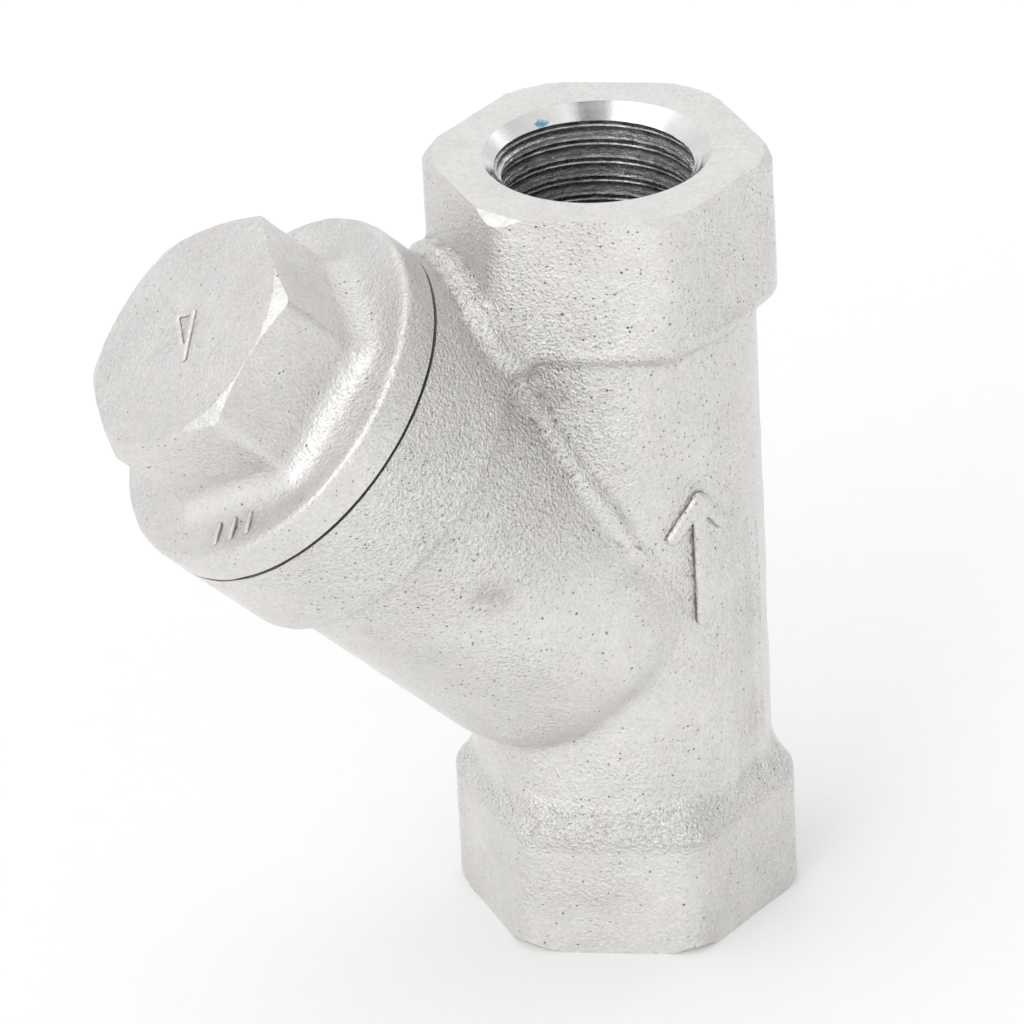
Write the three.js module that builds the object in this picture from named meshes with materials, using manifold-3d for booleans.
// A threaded Y strainer in cast stainless steel: a straight run with a hexagonal socket at each
// end, a screen branch that leans 45 degrees towards the outlet, a screwed hexagon cap with its
// gasket, and the basket screen that stands between a seat in the body and a recess in the cap.
//
// Millimetres, +Z up. The origin is the centre of the inlet end face. The run lies along +Z from
// the inlet to the outlet, and the branch lies in the XZ plane and leans towards -X.
// Lengths named "s" are measured along the branch axis from where it meets the run axis.

import * as THREE from "three";
import { ConvexGeometry } from "three/addons/geometries/ConvexGeometry.js";
import { mergeVertices } from "three/addons/utils/BufferGeometryUtils.js";
import Module from "manifold-3d";

// --- driving dimensions ---------------------------------------------------------------------

const FACE_TO_FACE = 65; // inlet face to outlet face
const HEX_FLATS = 24.2; // across the flats of both end hexagons
const HEX_CORNER_RADIUS = 2.4; // cast rounding of the hexagon's corners
const HEX_HEIGHT_IN = 11; // height of the flats at the inlet
const HEX_HEIGHT_OUT = 11.8; // height of the flats at the outlet
const SHOULDER_HEIGHT_IN = 2.2; // sloping shoulder from the flats to the run
const SHOULDER_HEIGHT_OUT = 1.5;
const SHOULDER_INSET = 1.9; // how far the shoulder closes in on the run
const FACE_TURN_RADIUS = 12.75; // turned edge of the end faces
const FACE_TURN_DROP = 2.1; // depth of that chamfer at its outer radius
const FACE_TURN_OUTER = 14.6;
const RUN_RADIUS = 11.87;

const SOCKET_RADIUS = 7.475; // minor radius of the 3/8 inch pipe thread
const SOCKET_DEPTH = 10.6;
const MOUTH_RADIUS = 8.9; // outer radius of the lead-in chamfer
const MOUTH_DEPTH = 1.45;
const WATERWAY_RADIUS = 5.5;

const BRANCH_ANGLE = Math.PI / 4; // between the branch axis and the run axis
const BRANCH_Z = 23.04; // where the two axes meet
const BRANCH_RADIUS = 13.45;
const BRANCH_END_S = -0.5; // inner end of the branch's outside
const BRANCH_END_RADIUS = 8.5;
const COLLAR_RADIUS = 15;
const COLLAR_S = 28.3; // inner end of the collar
const COLLAR_STEP_LOW = 0.6; // the sloping step up to the collar, below and above COLLAR_S
const COLLAR_STEP_HIGH = 0.8;
const COLLAR_FACE_S = 36.95; // machined joint face
const CHAMBER_RADIUS = 10.75; // cored space around the screen
const SEAT_S = 8; // machined face that the screen stands on
const SEAT_PORT_RADIUS = 6.2; // opening from the inlet into the screen
const SEAT_PORT_START_S = -3;
const SEAT_RECESS_RADIUS = 8.7; // counterbore that centres the screen
const SEAT_RECESS_DEPTH = 1;

const CAP_THREAD_RADIUS = 11.9; // plain bore that stands for the M24 x 1.5 thread
const THREAD_GAP = 0.3; // running gap between the plain thread surfaces
const CAP_THREAD_START_S = 27.6;
const CAP_THREAD_LEAD = 1.2; // cone between the chamber and the thread
const GASKET_RECESS_RADIUS = 13.5;
const GASKET_RECESS_DEPTH = 1.3;
const GASKET_INNER_RADIUS = 12.2;
const GASKET_OUTER_RADIUS = 13.2;
const GASKET_THICKNESS = 1;
const SEAT_GAP = 0.3; // gap left between faces that rest on each other

const FLANGE_FACE_S = COLLAR_FACE_S + SEAT_GAP;
const FLANGE_RADIUS = 15;
const FLANGE_TOP_S = 40.25;
const FLANGE_EDGE_RADIUS = 0.6;
const CAP_FILLET_RADIUS = 1.8; // from the flange up to the hexagon
const CAP_HEX_FLATS = 18.9;
const CAP_HEX_CORNER_RADIUS = 0.7;
const CAP_HEX_TURN = THREE.MathUtils.degToRad(14.1); // where the cap stops when it is tight
const CAP_TOP_S = 49.07;
const CAP_TURN_RADIUS = 9.65; // turned face of the cap's hexagon
const CAP_TURN_SLOPE = 0.54;
const SPIGOT_END_S = 28.6;
const SPIGOT_CHAMFER = 0.8;
const CAP_RECESS_RADIUS = 8.8; // holds the outer end of the screen
const CAP_RECESS_S = 38.1;
const CAP_CORE_RADIUS = 5.8;
const CAP_CORE_S = 44.4;

const SCREEN_START_S = SEAT_S - SEAT_RECESS_DEPTH + SEAT_GAP;
const SCREEN_END_S = CAP_RECESS_S - SEAT_GAP;
const SLEEVE_OUTER_RADIUS = 7.75;
const SLEEVE_THICKNESS = 0.45;
const LINER_THICKNESS = 0.35;
const RIM_WALL = 0.35;
const RIM_HEIGHT = 2.2;
const SHEET_GAP = 0.3; // between the nested walls of the screen
const PERFORATION_RADIUS = 0.9; // hexagonal holes, centred on the sleeve's facets
const PERFORATION_SIDES = 6;
const PERFORATIONS_AROUND = 12; // each row uses every second facet
const PERFORATION_ROWS = 9;

const ROUND = 48; // sides of a large round surface
const FINE = 32; // sides of a small round surface
const SHEET_SIDES = 24; // sides of the screen's sheets and rims
const ARC = 4; // steps of a rounded corner

// --- solids ---------------------------------------------------------------------------------

const wasm = await Module();
wasm.setup();

function toSolid(geometry) {
  const bare = geometry.clone();
  bare.deleteAttribute("normal");
  bare.deleteAttribute("uv");
  const closed = mergeVertices(bare, 1e-4);
  return new wasm.Manifold(
    new wasm.Mesh({
      numProp: 3,
      vertProperties: new Float32Array(closed.attributes.position.array),
      triVerts: new Uint32Array(closed.index.array),
    }),
  );
}

function toGeometry(solid) {
  const mesh = solid.getMesh();
  const geometry = new THREE.BufferGeometry();
  geometry.setAttribute("position", new THREE.BufferAttribute(mesh.vertProperties, mesh.numProp));
  geometry.setIndex(new THREE.BufferAttribute(mesh.triVerts, 1));
  geometry.computeVertexNormals();
  return geometry;
}

const join = (solids) => solids.reduce((whole, next) => whole.add(next));
const cut = (solid, tools) => tools.reduce((left, tool) => left.subtract(tool), solid);

// A turned solid about +Z. The profile is a list of [radius, height].
function turned(profile, sides = ROUND) {
  const points = profile.map(([radius, height]) => new THREE.Vector2(radius, height));
  return new THREE.LatheGeometry(points, sides).rotateX(Math.PI / 2);
}

const rod = (radius, low, high, sides) =>
  turned([[0, low], [radius, low], [radius, high], [0, high]], sides);

// A quarter arc of a turned profile, from one angle to another.
function arc(centreRadius, centreHeight, radius, from, to) {
  const steps = Array.from({ length: ARC + 1 }, (_, i) => from + ((to - from) * i) / ARC);
  return steps.map((a) => [
    centreRadius + radius * Math.cos(a),
    centreHeight + radius * Math.sin(a),
  ]);
}

// The outline of a hexagon with rounded corners, its first corner at the angle "turn".
function hexOutline(flats, cornerRadius, turn) {
  const reach = (flats / 2 - cornerRadius) / Math.cos(Math.PI / 6);
  const outline = [];
  for (let corner = 0; corner < 6; corner += 1) {
    const a = turn + (corner * Math.PI) / 3;
    for (let step = 0; step <= ARC; step += 1) {
      const b = a + ((step / ARC - 0.5) * Math.PI) / 3;
      outline.push([
        reach * Math.cos(a) + cornerRadius * Math.cos(b),
        reach * Math.sin(a) + cornerRadius * Math.sin(b),
      ]);
    }
  }
  return outline;
}

const atHeight = (outline, z) => outline.map(([x, y]) => new THREE.Vector3(x, y, z));

function placeOnBranch(geometry) {
  return geometry.rotateY(-BRANCH_ANGLE).translate(0, 0, BRANCH_Z);
}

// --- body -----------------------------------------------------------------------------------

// One end hexagon, standing on z = 0, with its turned face below and its shoulder above.
function endHexagon(height, shoulder) {
  const outline = hexOutline(HEX_FLATS, HEX_CORNER_RADIUS, Math.PI / 6);
  const inner = hexOutline(HEX_FLATS - 2 * SHOULDER_INSET, HEX_CORNER_RADIUS, Math.PI / 6);
  const block = new ConvexGeometry([
    ...atHeight(outline, 0),
    ...atHeight(outline, height),
    ...atHeight(inner, height + shoulder),
  ]);
  const turnedFace = turned([
    [0, 0],
    [FACE_TURN_RADIUS, 0],
    [FACE_TURN_OUTER, FACE_TURN_DROP],
    [FACE_TURN_OUTER, height + shoulder],
    [0, height + shoulder],
  ]);
  return toSolid(block).intersect(toSolid(turnedFace));
}

// One threaded socket with its lead-in chamfer, opening downwards through z = 0.
function socketTool() {
  return toSolid(
    turned(
      [
        [0, -1],
        [MOUTH_RADIUS, -1],
        [MOUTH_RADIUS, 0],
        [SOCKET_RADIUS, MOUTH_DEPTH],
        [SOCKET_RADIUS, SOCKET_DEPTH],
        [WATERWAY_RADIUS, SOCKET_DEPTH + 1],
        [0, SOCKET_DEPTH + 1],
      ],
      FINE,
    ),
  );
}

const upsideDown = (solid) => solid.rotate([180, 0, 0]).translate([0, 0, FACE_TO_FACE]);

function branchCasting() {
  const rim = BRANCH_END_S + BRANCH_END_RADIUS;
  return toSolid(
    placeOnBranch(
      turned([
        [0, BRANCH_END_S],
        ...arc(BRANCH_RADIUS - BRANCH_END_RADIUS, rim, BRANCH_END_RADIUS, -Math.PI / 2, 0),
        [BRANCH_RADIUS, COLLAR_S - COLLAR_STEP_LOW],
        [COLLAR_RADIUS, COLLAR_S + COLLAR_STEP_HIGH],
        [COLLAR_RADIUS, COLLAR_FACE_S],
        [0, COLLAR_FACE_S],
      ]),
    ),
  );
}

// The cored and machined spaces of the branch: port, seat, chamber, cap thread, gasket recess.
function branchBores() {
  return toSolid(
    placeOnBranch(
      turned([
        [0, SEAT_PORT_START_S],
        [SEAT_PORT_RADIUS, SEAT_PORT_START_S],
        [SEAT_PORT_RADIUS, SEAT_S - SEAT_RECESS_DEPTH],
        [SEAT_RECESS_RADIUS, SEAT_S - SEAT_RECESS_DEPTH],
        [SEAT_RECESS_RADIUS, SEAT_S],
        [CHAMBER_RADIUS, SEAT_S],
        [CHAMBER_RADIUS, CAP_THREAD_START_S - CAP_THREAD_LEAD],
        [CAP_THREAD_RADIUS, CAP_THREAD_START_S],
        [CAP_THREAD_RADIUS, COLLAR_FACE_S - GASKET_RECESS_DEPTH],
        [GASKET_RECESS_RADIUS, COLLAR_FACE_S - GASKET_RECESS_DEPTH],
        [GASKET_RECESS_RADIUS, COLLAR_FACE_S + 1],
        [0, COLLAR_FACE_S + 1],
      ]),
    ),
  );
}

// The outlet waterway comes down to the inclined wall that carries the screen seat.
function outletWaterway() {
  const bore = toSolid(rod(WATERWAY_RADIUS, BRANCH_Z, FACE_TO_FACE - SOCKET_DEPTH, FINE));
  const beyondWall = toSolid(
    placeOnBranch(rod(2 * FACE_TO_FACE, SEAT_S, 2 * FACE_TO_FACE, FINE)),
  );
  return bore.intersect(beyondWall);
}

function bodySolid() {
  const casting = join([
    endHexagon(HEX_HEIGHT_IN, SHOULDER_HEIGHT_IN),
    upsideDown(endHexagon(HEX_HEIGHT_OUT, SHOULDER_HEIGHT_OUT)),
    toSolid(rod(RUN_RADIUS, HEX_HEIGHT_IN / 2, FACE_TO_FACE - HEX_HEIGHT_OUT / 2)),
    branchCasting(),
  ]);
  const inletWaterway = toSolid(rod(WATERWAY_RADIUS, SOCKET_DEPTH, BRANCH_Z, FINE));
  return cut(casting, [
    socketTool(),
    upsideDown(socketTool()),
    inletWaterway,
    outletWaterway(),
    branchBores(),
  ]);
}

// --- cap and gasket -------------------------------------------------------------------------

function capHexagon() {
  const outline = hexOutline(CAP_HEX_FLATS, CAP_HEX_CORNER_RADIUS, CAP_HEX_TURN);
  const block = new ConvexGeometry([
    ...atHeight(outline, FLANGE_TOP_S - 1),
    ...atHeight(outline, CAP_TOP_S),
  ]);
  const outer = CAP_TURN_RADIUS + 2;
  const turnedFace = turned([
    [0, FLANGE_TOP_S - 2],
    [outer, FLANGE_TOP_S - 2],
    [outer, CAP_TOP_S - 2 * CAP_TURN_SLOPE],
    [CAP_TURN_RADIUS, CAP_TOP_S],
    [0, CAP_TOP_S],
  ]);
  return toSolid(block).intersect(toSolid(turnedFace));
}

// The flange with its threaded spigot, and the fillet that climbs to the hexagon.
function capFlange() {
  const hexRadius = CAP_HEX_FLATS / 2;
  const edge = FLANGE_RADIUS - FLANGE_EDGE_RADIUS;
  const filletRadius = hexRadius + CAP_FILLET_RADIUS;
  const filletTop = FLANGE_TOP_S + CAP_FILLET_RADIUS;
  const spigotRadius = CAP_THREAD_RADIUS - THREAD_GAP;
  return toSolid(
    turned([
      [0, SPIGOT_END_S],
      [spigotRadius - SPIGOT_CHAMFER, SPIGOT_END_S],
      [spigotRadius, SPIGOT_END_S + SPIGOT_CHAMFER],
      [spigotRadius, FLANGE_FACE_S],
      [FLANGE_RADIUS, FLANGE_FACE_S],
      ...arc(edge, FLANGE_TOP_S - FLANGE_EDGE_RADIUS, FLANGE_EDGE_RADIUS, 0, Math.PI / 2),
      ...arc(filletRadius, filletTop, CAP_FILLET_RADIUS, -Math.PI / 2, -Math.PI),
      [0, filletTop],
    ]),
  );
}

function capSolid() {
  const recess = toSolid(
    turned(
      [
        [0, SPIGOT_END_S - 1],
        [CAP_RECESS_RADIUS, SPIGOT_END_S - 1],
        [CAP_RECESS_RADIUS, CAP_RECESS_S],
        [CAP_CORE_RADIUS, CAP_RECESS_S],
        [CAP_CORE_RADIUS - 1, CAP_CORE_S],
        [0, CAP_CORE_S],
      ],
      FINE,
    ),
  );
  return cut(join([capFlange(), capHexagon()]), [recess]);
}

function gasketRing() {
  const low = COLLAR_FACE_S - GASKET_RECESS_DEPTH + SEAT_GAP;
  return turned([
    [GASKET_INNER_RADIUS, low],
    [GASKET_OUTER_RADIUS, low],
    [GASKET_OUTER_RADIUS, low + GASKET_THICKNESS],
    [GASKET_INNER_RADIUS, low + GASKET_THICKNESS],
    [GASKET_INNER_RADIUS, low],
  ]);
}

// --- screen ---------------------------------------------------------------------------------

const sheetLow = SCREEN_START_S + RIM_WALL + SHEET_GAP;
const sheetHigh = SCREEN_END_S - RIM_WALL - SHEET_GAP;
const sleeveInnerRadius = SLEEVE_OUTER_RADIUS - SLEEVE_THICKNESS;
const linerOuterRadius = sleeveInnerRadius - SHEET_GAP;
const linerInnerRadius = linerOuterRadius - LINER_THICKNESS;

function tube(inner, outer, low, high) {
  const section = [[inner, low], [outer, low], [outer, high], [inner, high], [inner, low]];
  return turned(section, SHEET_SIDES);
}

// The sheet sleeve with staggered rows of perforations between the two rims.
function sleeveSolid() {
  const first = SCREEN_START_S + RIM_HEIGHT + PERFORATION_RADIUS + 1;
  const last = SCREEN_END_S - RIM_HEIGHT - PERFORATION_RADIUS - 1;
  const punches = [];
  for (let row = 0; row < PERFORATION_ROWS; row += 1) {
    const height = first + ((last - first) * row) / (PERFORATION_ROWS - 1);
    for (let i = 0; i < PERFORATIONS_AROUND; i += 1) {
      const angle = ((2 * i + (row % 2) + 0.5) * 2 * Math.PI) / SHEET_SIDES;
      const [low, high] = [sleeveInnerRadius - 1, SLEEVE_OUTER_RADIUS + 1];
      const punch = rod(PERFORATION_RADIUS, low, high, PERFORATION_SIDES);
      punch.rotateY(Math.PI / 2).rotateZ(angle).translate(0, 0, height);
      punches.push(toSolid(punch));
    }
  }
  const sheet = tube(sleeveInnerRadius, SLEEVE_OUTER_RADIUS, sheetLow, sheetHigh);
  return cut(toSolid(sheet), punches);
}

// A rolled rim of U section that grips the ends of the sleeve and of the liner.
// "facing" is 1 for the rim whose channel opens towards the cap, and -1 for the other.
function rimChannel(endS, facing) {
  const outside = SLEEVE_OUTER_RADIUS + SHEET_GAP + RIM_WALL;
  const inside = linerInnerRadius - SHEET_GAP - RIM_WALL;
  const floor = endS + facing * RIM_WALL;
  const lip = endS + facing * RIM_HEIGHT;
  const section = [
    [inside, endS],
    [outside, endS],
    [outside, lip],
    [outside - RIM_WALL, lip],
    [outside - RIM_WALL, floor],
    [inside + RIM_WALL, floor],
    [inside + RIM_WALL, lip],
    [inside, lip],
    [inside, endS],
  ];
  return turned(facing > 0 ? section : section.reverse(), SHEET_SIDES);
}

// --- assembly -------------------------------------------------------------------------------

const CAST_STEEL = { color: 0xd2d0cb, roughness: 0.42, metalness: 0.9 };
const BRIGHT_STEEL = { color: 0xdedede, roughness: 0.22, metalness: 1 };
const SHEET_STEEL = { color: 0xbfc0c0, roughness: 0.3, metalness: 1 };
const BLACK_GASKET = { color: 0x1b1b1d, roughness: 0.8, metalness: 0 };

function part(name, geometry, finish) {
  const mesh = new THREE.Mesh(geometry, new THREE.MeshStandardMaterial(finish));
  mesh.name = name;
  return mesh;
}

const branch = new THREE.Group();
branch.rotation.y = -BRANCH_ANGLE;
branch.position.z = BRANCH_Z;
branch.add(
  part("hex_cap", toGeometry(capSolid()), CAST_STEEL),
  part("cap_gasket", gasketRing(), BLACK_GASKET),
  part("screen_sleeve", toGeometry(sleeveSolid()), SHEET_STEEL),
  part(
    "screen_mesh_liner",
    tube(linerInnerRadius, linerOuterRadius, sheetLow, sheetHigh),
    SHEET_STEEL,
  ),
  part("screen_seat_rim", rimChannel(SCREEN_START_S, 1), BRIGHT_STEEL),
  part("screen_cap_rim", rimChannel(SCREEN_END_S, -1), BRIGHT_STEEL),
);

const strainer = new THREE.Group();
strainer.add(part("strainer_body", toGeometry(bodySolid()), CAST_STEEL), branch);

export default strainer;
